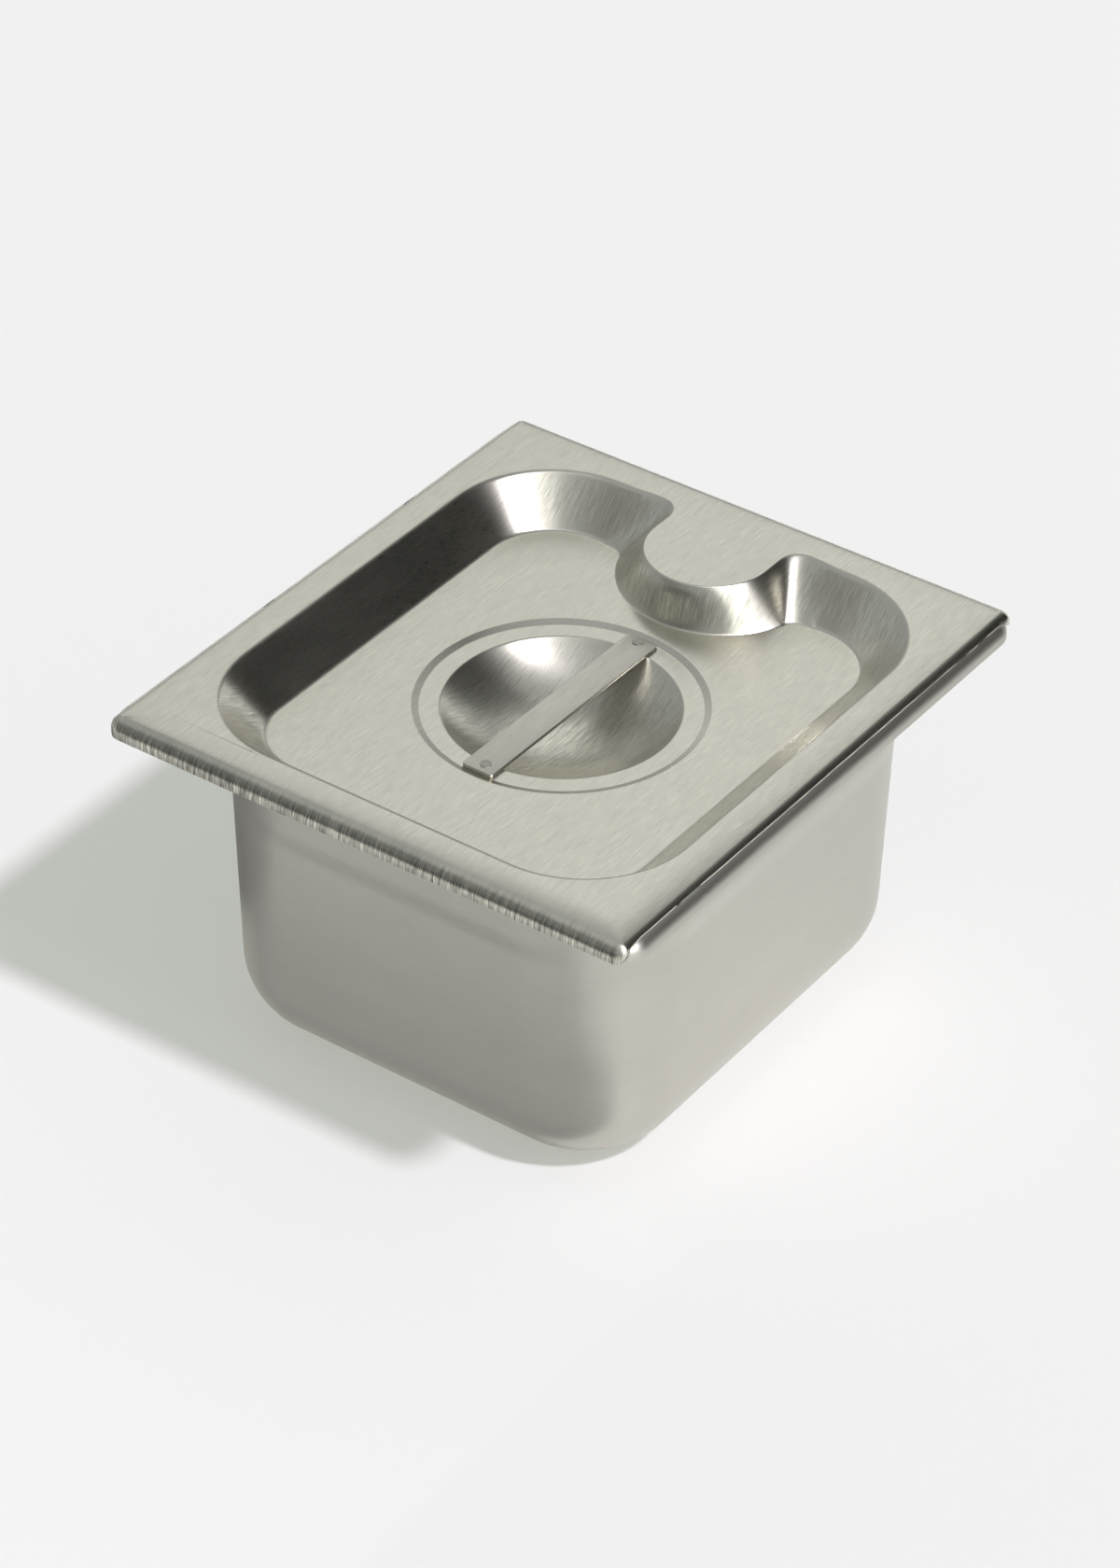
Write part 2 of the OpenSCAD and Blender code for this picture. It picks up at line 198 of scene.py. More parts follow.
def rounded(w, l, r, z):
    corners = []
    for q, (sx, sy) in enumerate(((1, 1), (-1, 1), (-1, -1), (1, -1))):
        axis = (sx * (w / 2 - r), sy * (l / 2 - r))
        arc = [math.radians(90 * q + 90 * i / (ARC - 1)) for i in range(ARC)]
        corners.append([(axis[0] + r * math.cos(a), axis[1] + r * math.sin(a), z) for a in arc])
    points = []
    for q in range(4):
        points += corners[q]
        a, b = corners[q][-1], corners[(q + 1) % 4][0]
        for i in range(1, SIDE + 1):
            t = i / (SIDE + 1)
            points.append((a[0] + (b[0] - a[0]) * t, a[1] + (b[1] - a[1]) * t, z))
    return points


def lower_ring(r, z):
    """A ring round the four corner axes of the body, at the corner radius r."""
    return rounded(BASE_W - 2 * BODY_CORNER + 2 * r, BASE_L - 2 * BODY_CORNER + 2 * r, r, z)


def upper_ring(r, z):
    """The same above the shoulder, where the corners are wider."""
    w = BASE_W + 2 * SHOULDER_STEP - 2 * UPPER_CORNER
    l = BASE_L + 2 * SHOULDER_STEP - 2 * UPPER_CORNER
    return rounded(w + 2 * r, l + 2 * r, r, z)


def flange_ring(r, z):
    return rounded(FLANGE_W - 2 * FLANGE_CORNER + 2 * r, FLANGE_L - 2 * FLANGE_CORNER + 2 * r, r, z)


def wall_ring(z, inset):
    lower = lower_ring(BODY_CORNER + DRAFT * z - inset / DRAFT_COS, z)
    upper = upper_ring(UPPER_CORNER + DRAFT * z - inset / DRAFT_COS, z)
    t = min(max((z - SHOULDER_Z) / SHOULDER_RISE, 0), 1)
    return blend_rings(lower, upper, t * t * (3 - 2 * t))


def base_rings(inset):
    r = BASE_ROUND - inset
    axis = BODY_CORNER - inset / DRAFT_COS + DRAFT * BASE_ROUND - r / DRAFT_COS
    out = [lower_ring(axis * share, inset) for share in BASE_SHARES]
    for a in turned(math.radians(-90), math.radians(-WALL_DRAFT), BASE_STEPS):
        out.append(lower_ring(axis + r * math.cos(a), BASE_ROUND + r * math.sin(a)))
    return out


def mouth_rings(inset):
    """From the wall to the flange, on the skin that lies by inset inside the outer one."""
    z = FLANGE_Z - MOUTH_ROUND
    axis = UPPER_CORNER + DRAFT * z + (MOUTH_ROUND - SHEET) / DRAFT_COS
    r = MOUTH_ROUND - SHEET + inset
    return [upper_ring(axis - r * math.cos(a), z + r * math.sin(a))
            for a in turned(math.radians(WALL_DRAFT), math.radians(90), MOUTH_STEPS)]


def wall_heights():
    shoulder = [SHOULDER_Z + SHOULDER_RISE * i / SHOULDER_STEPS for i in range(SHOULDER_STEPS + 1)]
    return BELOW_SHOULDER + shoulder + ABOVE_SHOULDER


def under_flange():
    """Out along the underside of the flange and down inside its roll."""
    r = ROLL_R - SHEET
    out = [flange_ring(FLANGE_CORNER - ROLL_R - FLANGE_FLAT, FLANGE_Z - SHEET)]
    for a in turned(math.radians(90), 0, INNER_ROLL_STEPS):
        out.append(flange_ring(FLANGE_CORNER - ROLL_R + r * math.cos(a), FLANGE_Z - ROLL_R + r * math.sin(a)))
    return out


def lip_rings():
    """Round the cut edge of the lip."""
    return [flange_ring(FLANGE_CORNER - SHEET, LIP_Z + LIP_ROUND),
            flange_ring(FLANGE_CORNER - SHEET + LIP_ROUND, LIP_Z),
            flange_ring(FLANGE_CORNER - LIP_ROUND, LIP_Z),
            flange_ring(FLANGE_CORNER, LIP_Z + LIP_ROUND),
            flange_ring(FLANGE_CORNER, (LIP_Z + FLANGE_Z - ROLL_R) / 2)]


def over_flange():
    """Up over the roll and back in along the flange's top."""
    out = []
    for a in turned(0, math.radians(90), ROLL_STEPS):
        out.append(flange_ring(FLANGE_CORNER - ROLL_R + ROLL_R * math.cos(a),
                               FLANGE_Z - ROLL_R + ROLL_R * math.sin(a)))
    return out + [flange_ring(FLANGE_CORNER - ROLL_R - FLANGE_FLAT, FLANGE_Z)]


def build_pan():
    heights = wall_heights()
    rings = base_rings(0) + [wall_ring(z, 0) for z in heights] + mouth_rings(0)
    rings += under_flange() + lip_rings() + over_flange()
    rings += mouth_rings(SHEET)[::-1] + [wall_ring(z, SHEET) for z in heights[::-1]] + base_rings(SHEET)[::-1]
    obj, spots = skin_of_rings("pan_body", rings)
    girth = [0]
    belt = wall_ring(GIRTH_Z, 0)
    for k in range(PAN_N):
        girth.append(girth[-1] + math.dist(belt[k], belt[(k + 1) % PAN_N]) * MM)
    girth.append(girth[PAN_N] + girth[1])
    middle = ARC + SIDE // 2
    depth = [0]
    for a, b in zip(rings, rings[1:]):
        depth.append(depth[-1] + math.dist(a[middle], b[middle]) * MM)
    lay_grain(obj, spots, PAN_N, lambda co, j, k: (girth[k % len(girth)], depth[j]))
    return obj


pan = build_pan()


# The lid. A ring runs through the same stretches on every line of the lid:
# the tongue's tip, its flanks, its roots, the back, the corners and the sides.
# Points of the rim and the foot that belong together look the same way, so a
# whole flank runs down to one short stretch of the foot.
TIP_N, FLANK_N, ROOT_N, BACK_N, CORNER_N, LONG_N = 56, 18, 18, 9, 22, 34

# How far the flank's stretch takes in the tip and the root, and where the stretches
# end on the lid's back edge.
FLANK_TIP, FLANK_ROOT = math.radians(1), math.radians(6)
EDGE_TIP, EDGE_FLANK, EDGE_ROOT = 0.62 * TONGUE_HALF, 0.9 * TONGUE_HALF, ROOT_X + 1

# Rings on each bend and wall, and shares of how the rings follow the foot.
EDGE_STEPS, CROWN_STEPS, RIM_STEPS, WALL_STEPS, FOOT_STEPS = 9, 5, 8, 5, 6
DIP_STEPS, RING_STEPS, BOWL_RIM_STEPS, BOWL_STEPS = 4, 4, 6, 24
FOLLOW_FOOT, FLOOR_SHARE = 0.7, 0.06

FLANK_ARC = TONGUE_HALF * (TURN_ANGLE + FLANK_TIP)
FLANK_SIDE = RIM_Y - ROOT_ROUND - TIP_Y
FLANK_LENGTH = FLANK_ARC + FLANK_SIDE + ROOT_ROUND * (TURN_ANGLE + FLANK_ROOT)


def on_arc(axis, r, angle):
    a = math.radians(angle)
    return (axis[0] + r * math.cos(a), axis[1] + r * math.sin(a))


def flank_rim(share):
    d = FLANK_LENGTH * share
    if d < FLANK_ARC:
        return on_arc((0, TIP_Y), TONGUE_HALF, math.degrees(d / TONGUE_HALF - TURN_ANGLE - FLANK_TIP))
    if d < FLANK_ARC + FLANK_SIDE:
        return (TONGUE_HALF, TIP_Y + d - FLANK_ARC)
    angle = (d - FLANK_ARC - FLANK_SIDE) / ROOT_ROUND
    return on_arc((ROOT_X, ROOT_Y), ROOT_ROUND, 180 - math.degrees(angle))


def flank_foot(share):
    if share < 0.5:
        return on_arc((0, FOOT_AXIS_Y), FOOT_R, -math.degrees(TURN_ANGLE + FLANK_TIP * (1 - 2 * share)))
    angle = TURN_ANGLE + FLANK_ROOT * (2 * share - 1)
    return on_arc((TURN_X, TURN_Y), FOOT_ROUND, 180 - math.degrees(angle))


TIP_END = -math.degrees(TURN_ANGLE + FLANK_TIP)
ROOT_START = 180 - math.degrees(TURN_ANGLE + FLANK_ROOT)
TIPS = [-90 + (90 + TIP_END) * i / TIP_N for i in range(TIP_N)]
FLANKS = [i / FLANK_N for i in range(FLANK_N)]
ROOTS = [ROOT_START - (ROOT_START - 90) * i / ROOT_N for i in range(ROOT_N)]


def rim_tongue():
    return ([on_arc((0, TIP_Y), TONGUE_HALF, a) for a in TIPS] + [flank_rim(share) for share in FLANKS]
            + [on_arc((ROOT_X, ROOT_Y), ROOT_ROUND, a) for a in ROOTS])


def foot_tongue():
    return ([on_arc((0, FOOT_AXIS_Y), FOOT_R, a) for a in TIPS] + [flank_foot(share) for share in FLANKS]
            + [on_arc((TURN_X, TURN_Y), FOOT_ROUND, a) for a in ROOTS])


def edge_tongue():
    """The points of the lid's straight back edge that stand behind the tongue."""
    tip_reach = EDGE_TIP * math.cos(math.radians(TIP_END))
    back = LID_L / 2
    return ([(EDGE_TIP * math.cos(math.radians(a)), back) for a in TIPS]
            + [(tip_reach + (EDGE_FLANK - tip_reach) * share, back) for share in FLANKS]
            + [(EDGE_FLANK + (EDGE_ROOT - EDGE_FLANK) * i / ROOT_N, back) for i in range(ROOT_N)])


def loop_round(tongue, start, w, top, bottom, r):
    """A closed line: the tongue's stretch, then along the back from start, round the right half to the
    middle of the front, and back on the left as its mirror."""
    half = list(tongue)
    half += [(start + (w - r - start) * i / BACK_N, top) for i in range(BACK_N)]
    half += [on_arc((w - r, top - r), r, 90 - 90 * i / CORNER_N) for i in range(CORNER_N)]
    half += [(w, top - r + (bottom + r - (top - r)) * i / LONG_N) for i in range(LONG_N)]
    half += [on_arc((w - r, bottom + r), r, -90 * i / CORNER_N) for i in range(CORNER_N)]
    half += [((w - r) * (1 - i / LONG_N), bottom) for i in range(LONG_N)]
    return half + [(0, bottom)] + [(-x, y) for x, y in half[:0:-1]]


rim = loop_round(rim_tongue(), ROOT_X, POCKET_W / 2, RIM_Y, RIM_FRONT_Y, POCKET_CORNER)
foot = loop_round(foot_tongue(), TURN_X, POCKET_W / 2 - POCKET_RUN, FOOT_Y, RIM_FRONT_Y + POCKET_RUN,
                  POCKET_CORNER - POCKET_RUN)
edge = loop_round(edge_tongue(), EDGE_ROOT, LID_W / 2, LID_L / 2, -LID_L / 2, LID_CORNER)
LID_N = len(rim)


def edge_ways():
    """For each point of the edge, the way that is outward there and the axis of its corner."""
    ways, middles = [], []
    for x, y in edge:
        cx = min(max(x, -(LID_W / 2 - LID_CORNER)), LID_W / 2 - LID_CORNER)
        cy = min(max(y, -(LID_L / 2 - LID_CORNER)), LID_L / 2 - LID_CORNER)
        d = math.hypot(x - cx, y - cy)
        ways.append(((x - cx) / d, (y - cy) / d))
        middles.append((cx, cy))
    return ways, middles


outward, axes = edge_ways()


def cut_height(k):
    """Height of the cut edge: on the flange at the sides, lower along the two skirts."""
    x, y = edge[k]
    end, foot_end = LID_L / 2 - SIDE_END, LID_L / 2 - SIDE_FOOT
    t = min(max((abs(y) - end) / (foot_end - end), 0), 1)
    if t == 0:
        jag = SIDE_JAG * noise.noise(Vector((x * JAG_PITCH, y * JAG_PITCH, SIDE_SLICE)))
    else:
        jag = SKIRT_JAG * noise.noise(Vector((x, abs(y), SKIRT_SLICE)))
    return FLANGE_Z + (SKIRT_Z - FLANGE_Z) * t + jag


def crown_angle(k, inset):
    """The fall of the flat towards its edge: strongest at the front right corner."""
    away = math.dist(edge[k], (LID_W / 2, -LID_L / 2)) / LID_L
    share = CROWN_LEAST + CROWN_MOST * max(1 - away, 0) ** CROWN_FADE
    return math.radians(CROWN_ANGLE) * share * (CROWN_UNDER if inset else 1)


def bend_radius(k):
    return SIDE_BEND + (SKIRT_BEND - SIDE_BEND) * outward[k][1] ** 2


def crown_drop(k, inset):
    return CROWN_RUN * math.tan(crown_angle(k, inset)) / 2


def edge_ring(step, inset):
    """One ring of the bent edge. Step 0 is where the bend starts, the last step is the cut."""
    out = []
    for k in range(LID_N):
        bend = bend_radius(k)
        r = bend - inset
        low = cut_height(k)
        start = crown_angle(k, inset)
        axis_z = LID_Z - crown_drop(k, inset) - bend * math.cos(start)
        end = math.acos(min((low - axis_z) / r, 1)) if low > axis_z else math.pi / 2
        arc = r * max(end - start, 0)
        straight = max(axis_z - low, 0)
        d = (arc + straight) * step / EDGE_STEPS
        if d <= arc:
            a = start + d / r
            x, z = r * math.sin(a), axis_z + r * math.cos(a)
        else:
            x, z = r, axis_z - (d - arc)
        x -= bend
        out.append((edge[k][0] + outward[k][0] * x, edge[k][1] + outward[k][1] * x, z))
    return out


def burr_ring(cut):
    """The two sheared sides end in a thin bright burr that lies outward."""
    out = []
    for (x, y, z), (ox, oy) in zip(cut, outward):
        side = abs(ox) ** 6
        waver = noise.noise(Vector((x * BURR_PITCH, y * BURR_PITCH, BURR_SLICE)))
        reach = BURR * side * (BURR_LEAST + BURR_SWING * waver)
        out.append((x + ox * reach, y + oy * reach, z + BURR_LIFT * side))
    return out


def crown_ring(share, inset):
    """The flat falls gently over its last stretch before the bend."""
    out = []
    for k, ((cx, cy), (ox, oy)) in enumerate(zip(axes, outward)):
        d = bend_radius(k) * (1 - math.sin(crown_angle(k, inset))) + CROWN_RUN * share
        r = max(LID_CORNER - d, CROWN_CORNER)
        kx = (LID_W / 2 - d - r) / (LID_W / 2 - LID_CORNER)
        ky = (LID_L / 2 - d - r) / (LID_L / 2 - LID_CORNER)
        z = LID_Z - inset - crown_drop(k, inset) * (1 - share) ** 2
        out.append((cx * kx + ox * r, cy * ky + oy * r, z))
    return out


def slope_of(run, drop, bends):
    """The angle of a straight wall that falls by drop over run between two bends of this radius in all."""
    return math.asin(bends / math.hypot(run, drop - bends)) + math.atan2(drop - bends, run)


def wall_bends(way, run):
    """Radii at the rim and the foot. Both are smaller where the wall is steep, the rim's also at the
    sides, and the foot's is larger in front."""
    share = min(run / POCKET_RUN, 1) ** STEEP_FADE
    rim_bend = RIM_BEND * share ** RIM_FADE * (1 - SIDE_EASE * abs(way.x))
    floor_bend = FLOOR_BEND * share ** FLOOR_FADE * (1 + FRONT_EASE * max(way.y, 0))
    return rim_bend, floor_bend


def wall_rings(inset):
    """Rings down the wall of the tray, from the rim to the foot."""
    columns = []
    for k in range(LID_N):
        p, q = Vector(rim[k]), Vector(foot[k])
        run = (q - p).length
        way = (q - p) / run
        rim_bend, floor_bend = wall_bends(way, run)
        slope = slope_of(run, POCKET_DEPTH, rim_bend + floor_bend)
        high, low = rim_bend - inset, floor_bend + inset
        line = [(high * math.sin(a), high * math.cos(a) - rim_bend) for a in turned(0, slope, RIM_STEPS)]
        end = [(run - low * math.sin(a), floor_bend - low * math.cos(a) - POCKET_DEPTH)
               for a in turned(slope, 0, FOOT_STEPS)]
        for i in range(1, WALL_STEPS):
            t = i / WALL_STEPS
            line.append(tuple(a + (b - a) * t for a, b in zip(line[RIM_STEPS], end[0])))
        line += end
        columns.append([(p.x + way.x * x, p.y + way.y * x, LID_Z + z) for x, z in line])
    return [[c[i] for c in columns] for i in range(len(columns[0]))]


def dish_ways():
    """The way from the dish's middle to each point of its rings: mostly that of its foot, evened out."""
    ways = []
    for k, (x, y) in enumerate(foot):
        a = math.atan2(y + DISH_OFFSET, x)
        even = math.pi / 2 - 2 * math.pi * k / LID_N
        turns = round((a - even) / (2 * math.pi))
        a = even + FOLLOW_FOOT * (a - 2 * math.pi * turns - even)
        ways.append((math.cos(a), math.sin(a)))
    return ways


def dish_profile(inset):
    """Distance from the middle and height over the tray floor, inwards: dip, ring step, ledge, bowl."""
    slope = slope_of(RING_RUN, RING_DEPTH, 2 * DISH_BEND)
    dip = math.radians(DIP_ANGLE)
    fall = DIP_RUN * math.tan(dip) / 2
    line = [(RING_R + DIP_RUN * (1 - t), -inset - fall * t ** 2) for t in turned(0, 1, DIP_STEPS)[:-1]]
    for a in turned(dip, slope, RING_STEPS):
        line.append((RING_R - (DISH_BEND - inset) * (math.sin(a) - math.sin(dip)),
                     (DISH_BEND - inset) * (math.cos(a) - math.cos(dip)) - fall - inset))
    for a in turned(slope, 0, RING_STEPS):
        line.append((RING_R - RING_RUN + (DISH_BEND + inset) * math.sin(a),
                     DISH_BEND - (DISH_BEND + inset) * math.cos(a) - RING_DEPTH))
    line.append((RING_R - RING_RUN - LEDGE_FLAT, -RING_DEPTH - inset))
    reach = (BOWL_R ** 2 + BOWL_DEPTH ** 2) / (2 * BOWL_DEPTH)
    steepest = math.asin(BOWL_R / reach)
    line.append((BOWL_R + LEDGE_FLAT, -RING_DEPTH - inset))
    for a in turned(0, steepest, BOWL_RIM_STEPS):
        line.append((BOWL_R - (DISH_BEND - inset) * math.sin(a),
                     (DISH_BEND - inset) * math.cos(a) - DISH_BEND - RING_DEPTH))
    r = reach - DISH_BEND + inset
    for a in turned(steepest, 0, BOWL_STEPS)[1:-1]:
        line.append((r * math.sin(a), reach - DISH_BEND - BOWL_DEPTH - RING_DEPTH - r * math.cos(a)))
    return line


def dish_rings(inset):
    ways = dish_ways()
    return [[(r * x, r * y - DISH_OFFSET, FLOOR_Z + z) for x, y in ways] for r, z in dish_profile(inset)]


def lid_skin(inset):
    edges = [edge_ring(i, inset) for i in range(EDGE_STEPS + 1)]
    crown = [crown_ring(i / CROWN_STEPS, inset) for i in range(1, CROWN_STEPS + 1)]
    walls = wall_rings(inset)
    dish = dish_rings(inset)
    return edges[::-1] + crown + walls + [blend_rings(walls[-1], dish[0], FLOOR_SHARE)] + dish


def soften_tongue(obj, spots, skin):
    """The wall round the tongue is one drawn sheet, so its folds run over into each other."""
    rim_ring = EDGE_STEPS + 1 + CROWN_STEPS
    foot_ring = rim_ring + RIM_STEPS + WALL_STEPS + FOOT_STEPS
    reach = TIP_N + FLANK_N + ROOT_N + TONGUE_MARGIN
    clear()
    bpy.context.view_layer.objects.active = obj
    obj.select_set(True)
    bpy.ops.object.mode_set(mode="EDIT")
    bpy.ops.mesh.select_mode(type="VERT")
    bpy.ops.mesh.select_all(action="DESELECT")
    mesh = edited(obj)
    for v in mesh.verts:
        j, k = spots[v.index]
        step = j - skin - 1 if j > skin else skin - 1 - j
        v.select = rim_ring + 2 <= step <= foot_ring - 2 and min(k, LID_N - k) < reach
    mesh.select_flush(True)
    bpy.ops.mesh.vertices_smooth(factor=0.5, repeat=TONGUE_SMOOTHING)
    bpy.ops.object.mode_set(mode="OBJECT")


def build_lid():
    """The underside's rings from the dish outwards, the burr, and the top's rings back in."""
    top, under = lid_skin(0), lid_skin(SHEET)
    obj, spots = skin_of_rings("lid_pressing", under[::-1] + [burr_ring(top[0])] + top)
    soften_tongue(obj, spots, len(under))
    lay_grain(obj, spots, LID_N, lambda co, j, k: (co.x, co.y))
    return obj


lid = build_lid()


# The handle strip: a plate with rounded corners and rolled edges.
def build_strip():
    middle = (0, -DISH_OFFSET * MM, 0)
    clear()
    bpy.ops.mesh.primitive_plane_add(size=1)
    obj = bpy.context.object
    obj.name = obj.data.name = "strip_bar"
    bpy.ops.object.mode_set(mode="EDIT")
    bpy.ops.transform.resize(value=(STRIP_W * MM, STRIP_L * MM, 1))
    bpy.ops.transform.translate(value=(0, -DISH_OFFSET * MM, (LEDGE_Z + STRIP_LIFT) * MM))
    bpy.ops.mesh.bevel(offset=STRIP_CORNER * MM, segments=4, affect="VERTICES")
    bpy.ops.mesh.extrude_region_move(TRANSFORM_OT_translate={"value": (0, 0, (STRIP_T - STRIP_LIFT) * MM)})
    bpy.ops.mesh.select_all(action="SELECT")
    bpy.ops.transform.rotate(value=math.radians(STRIP_TURN), orient_axis="Z", center_override=middle)
    bpy.ops.mesh.normals_make_consistent(inside=False)
    bpy.ops.object.mode_set(mode="OBJECT")
    edges = obj.modifiers.new("edges", "BEVEL")
    edges.width, edges.segments, edges.limit_method = STRIP_EDGE * MM, 3, "ANGLE"
    edges.angle_limit = math.radians(50)
    bpy.ops.object.modifier_apply(modifier="edges")
    bpy.ops.object.shade_smooth_by_angle(angle=math.radians(40))
    grain = obj.data.uv_layers[0]
    grain.name = "grain"
    for loop in obj.data.loops:
        co = obj.data.vertices[loop.vertex_index].co
        grain.data[loop.index].uv = (co.x, co.y)
    return obj


def weld_mark(name, y):
    """A pressed spot: a low round pad with a dip in its middle."""
    clear()
    z = LEDGE_Z + STRIP_T + WELD_H / 2
    bpy.ops.mesh.primitive_cylinder_add(vertices=40, radius=WELD_R * MM, depth=WELD_H * MM,
                                        location=(0, (y - DISH_OFFSET) * MM, z * MM))
    obj = bpy.context.object
    obj.name = obj.data.name = name
    bpy.ops.object.transform_apply(location=True, rotation=True, scale=True)
    bpy.ops.object.mode_set(mode="EDIT")
    bpy.ops.mesh.select_mode(type="FACE")
    bpy.ops.mesh.select_all(action="DESELECT")
    mesh = bmesh.from_edit_mesh(obj.data)
    for face in mesh.faces:
        face.select = face.normal.z > 0.9
    bpy.ops.mesh.inset(thickness=WELD_STEP * MM, depth=0)
    bpy.ops.mesh.inset(thickness=WELD_STEP * MM, depth=-WELD_DIP * MM)
    bpy.ops.mesh.inset(thickness=WELD_CENTRE * MM, depth=WELD_NUB * MM)
    bpy.ops.object.mode_set(mode="OBJECT")
    bpy.ops.object.shade_smooth_by_angle(angle=math.radians(60))
    return obj


strip = build_strip()
weld_near = weld_mark("weld_mark_near", WELD_INSET - STRIP_L / 2)
weld_far = weld_mark("weld_mark_far", STRIP_L / 2 - WELD_INSET + WELD_FAR_SHIFT)


# Materials. The grain of the steel is noise drawn out along one axis: streaks per
# metre across and along the grain, then the noise's detail and roughness.
FINE, COARSE, BROAD, BANDS = (4600, 240, 3, 0.65), (2000, 110, 4, 0.7), (60, 18, 3, 0.6), (1500, 6, 4, 0.8)
FINE_SHARE, COARSE_SHARE, MIDDLE = 0.55, 0.45, (0.3, 0.7)
SWING, WALL_SWING, SKIRT_SWING = 0.55, 1.8, 3.4
# The first of these scales the skirts' colour down in bands: painted shade.
SKIRT_SHADE, BAND_GRADE, DARKEST, RELIEF = 0.62, (0.36, 0.64, 0.75, 1.5), 0.05, 0.04 * MM
# The last two scale the lid's colour from its left side to its right: painted shade at the left, painted
# light at the right, where the key lamp stands.
BLOTCH_DARK, BLOTCH_LIGHT, LEFT_PAINTED_SHADE, RIGHT_PAINTED_LIGHT = 0.965, 1.03, 0.96, 1.11
GRAIN_DULL, GRAIN_BRIGHT, BLOTCH_BRIGHT, BLOTCH_DULL, ROLL_DULL = 0.06, -0.05, -0.02, 0.03, 0.12

# Where the masks of the materials start and are full, and how far the lid's painted light,
# darker at its left and lighter at its right, runs to each side, in millimetres.
FLOOR_START, FLOOR_FULL, TOP_START, TOP_FULL = 1.3, 2.6, 0.5, 1.6
SKIRT_START, SKIRT_FULL, ROLL_START, ROLL_FULL, PAINTED_LIGHT_REACH = 86.2, 88.7, 94, 96, 80


def linked(tree, value, socket):
    """Sets a socket to a number, or links another node's output to it."""
    if isinstance(value, (int, float)):
        socket.default_value = value
    else:
        tree.links.new(value, socket)


def worked(tree, operation, a, b=0):
    node = tree.nodes.new("ShaderNodeMath")
    node.operation = operation
    linked(tree, a, node.inputs[0])
    linked(tree, b, node.inputs[1])
    return node.outputs[0]


def graded(tree, value, low, high, to_low, to_high):
    node = tree.nodes.new("ShaderNodeMapRange")
    for key, x in (("From Min", low), ("From Max", high), ("To Min", to_low), ("To Max", to_high)):
        node.inputs[key].default_value = x
    tree.links.new(value, node.inputs["Value"])
    return node.outputs["Result"]


def streaks(tree, place, along, kind):
    across, length, detail, roughness = kind
    mapping = tree.nodes.new("ShaderNodeMapping")
    scale = [across, across, length]
    scale[along] = length
    mapping.inputs["Scale"].default_value = scale
    tex = tree.nodes.new("ShaderNodeTexNoise")
    tex.inputs["Scale"].default_value = 1
    tex.inputs["Detail"].default_value = detail
    tex.inputs["Roughness"].default_value = roughness
    tree.links.new(place, mapping.inputs["Vector"])
    tree.links.new(mapping.outputs["Vector"], tex.inputs["Vector"])
    return tex.outputs["Fac"]


def places(tree, coordinate):
    """The coordinate that the grain follows, and the piece's own X, Y and Z in metres."""
    source = tree.nodes.new("ShaderNodeTexCoord")
    split = tree.nodes.new("ShaderNodeSeparateXYZ")
    tree.links.new(source.outputs["Object"], split.inputs["Vector"])
    if coordinate == "UV":
        uv = tree.nodes.new("ShaderNodeUVMap")
        uv.uv_map = "grain"
        return uv.outputs["UV"], split.outputs
    return source.outputs["Object"], split.outputs


def wall_mask(tree, axes):
    """1 on the lid's drawn walls, 0 on its flat, its floor and its ledge."""
    from_floor = worked(tree, "ABSOLUTE", worked(tree, "SUBTRACT", axes["Z"], FLOOR_Z * MM))
    return worked(tree, "MULTIPLY", graded(tree, from_floor, FLOOR_START * MM, FLOOR_FULL * MM, 0, 1),
                  graded(tree, axes["Z"], (LID_Z - TOP_FULL) * MM, (LID_Z - TOP_START) * MM, 1, 0))


def skirt_mask(tree, axes):
    """1 on the lid's two skirts."""
    return graded(tree, worked(tree, "ABSOLUTE", axes["Y"]), SKIRT_START * MM, SKIRT_FULL * MM, 0, 1)


def skirt_painted_shade(tree, place, along, mask):
    """Painted shade: the skirts' colour is scaled down, in bright and dark bands of the grain."""
    bands = graded(tree, streaks(tree, place, along, BANDS), *BAND_GRADE)
    dim = worked(tree, "SUBTRACT", worked(tree, "MULTIPLY", bands, SKIRT_SHADE), 1)
    return worked(tree, "ADD", worked(tree, "MULTIPLY", mask, dim), 1)


